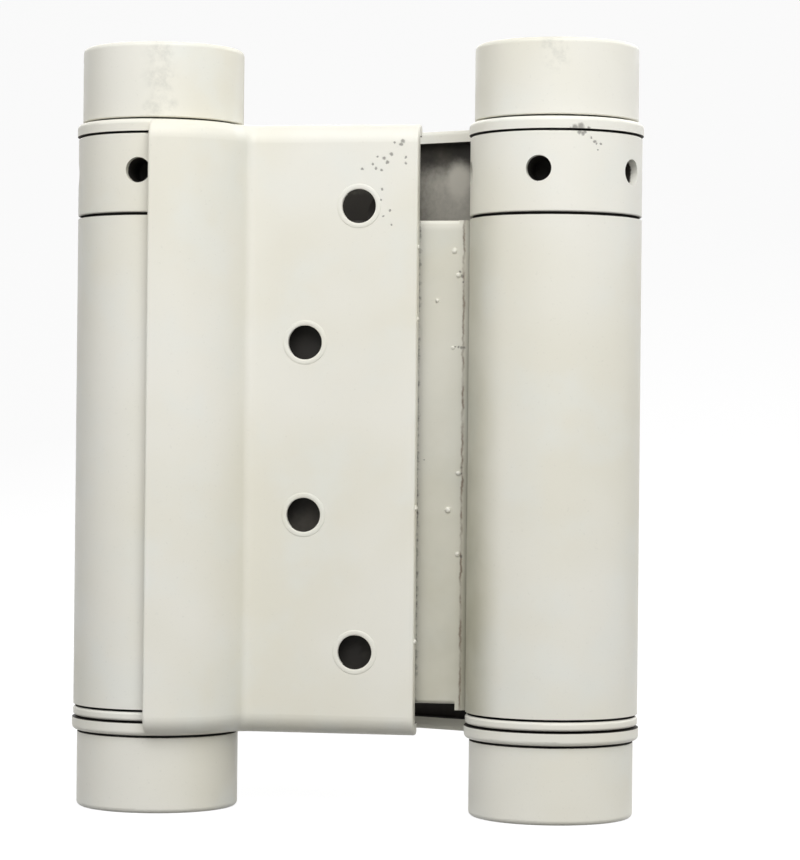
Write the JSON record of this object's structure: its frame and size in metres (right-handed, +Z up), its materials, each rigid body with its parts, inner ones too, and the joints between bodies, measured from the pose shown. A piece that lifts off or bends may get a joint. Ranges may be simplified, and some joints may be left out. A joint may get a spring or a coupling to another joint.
{
  "type": "double action hinge",
  "caption": "Cream enamelled double action spring hinge for a swing door: twin sprung barrels joined by a web, with a pressed leaf swinging each way.",
  "frame": {"origin": "on the front leaf's outer face, midway between the two barrels' axes and midway up the hinge, as it stands with that leaf closed", "axes": "+X from the left barrel to the right one, -Y towards the front leaf's outer face, +Z up along the barrels"},
  "size_m": [0.0706, 0.0281, 0.094],
  "materials": {
    "cream_enamel": "gloss",
    "bare_steel": "turned",
    "spring_steel": "oiled"
  },
  "bodies": {
    "centre": {"centre_plate": "cream_enamel", "left_spindle": "bare_steel", "left_spring": "spring_steel", "left_spring_anchor": "bare_steel", "left_bottom_washer": "cream_enamel", "left_top_journal": "bare_steel", "left_bottom_journal": "bare_steel", "left_top_cap": "cream_enamel", "left_bottom_cap": "cream_enamel", "right_spindle": "bare_steel", "right_spring": "spring_steel", "right_spring_anchor": "bare_steel", "right_bottom_washer": "cream_enamel", "right_top_journal": "bare_steel", "right_bottom_journal": "bare_steel", "right_top_cap": "cream_enamel", "right_bottom_cap": "cream_enamel"},
    "front_leaf": {"front_leaf": "cream_enamel"},
    "rear_leaf": {"rear_leaf": "cream_enamel"},
    "left_collar": {"left_tension_collar": "cream_enamel"},
    "right_collar": {"right_tension_collar": "cream_enamel"}
  },
  "joints": [
    {"name": "front_leaf_swing", "type": "hinge", "parent": "centre", "child": "front_leaf", "pos_m": [-0.02465, 0.0037, 0], "axis": [0, 0, -1], "range_deg": [0, 120]},
    {"name": "rear_leaf_swing", "type": "hinge", "parent": "centre", "child": "rear_leaf", "pos_m": [0.02465, 0.0037, 0], "axis": [0, 0, -1], "range_deg": [-22.5, 97.5]},
    {"name": "left_collar_wind", "type": "hinge", "parent": "centre", "child": "left_collar", "pos_m": [-0.02465, 0.0037, 0], "axis": [0, 0, -1], "range_deg": [0, 216], "stiffness_Nm_per_rad": 0.2, "deforming": ["left_spring"]},
    {"name": "right_collar_wind", "type": "hinge", "parent": "centre", "child": "right_collar", "pos_m": [0.02465, 0.0037, 0], "axis": [0, 0, -1], "range_deg": [0, 216], "stiffness_Nm_per_rad": 0.2, "deforming": ["right_spring"]}
  ]
}
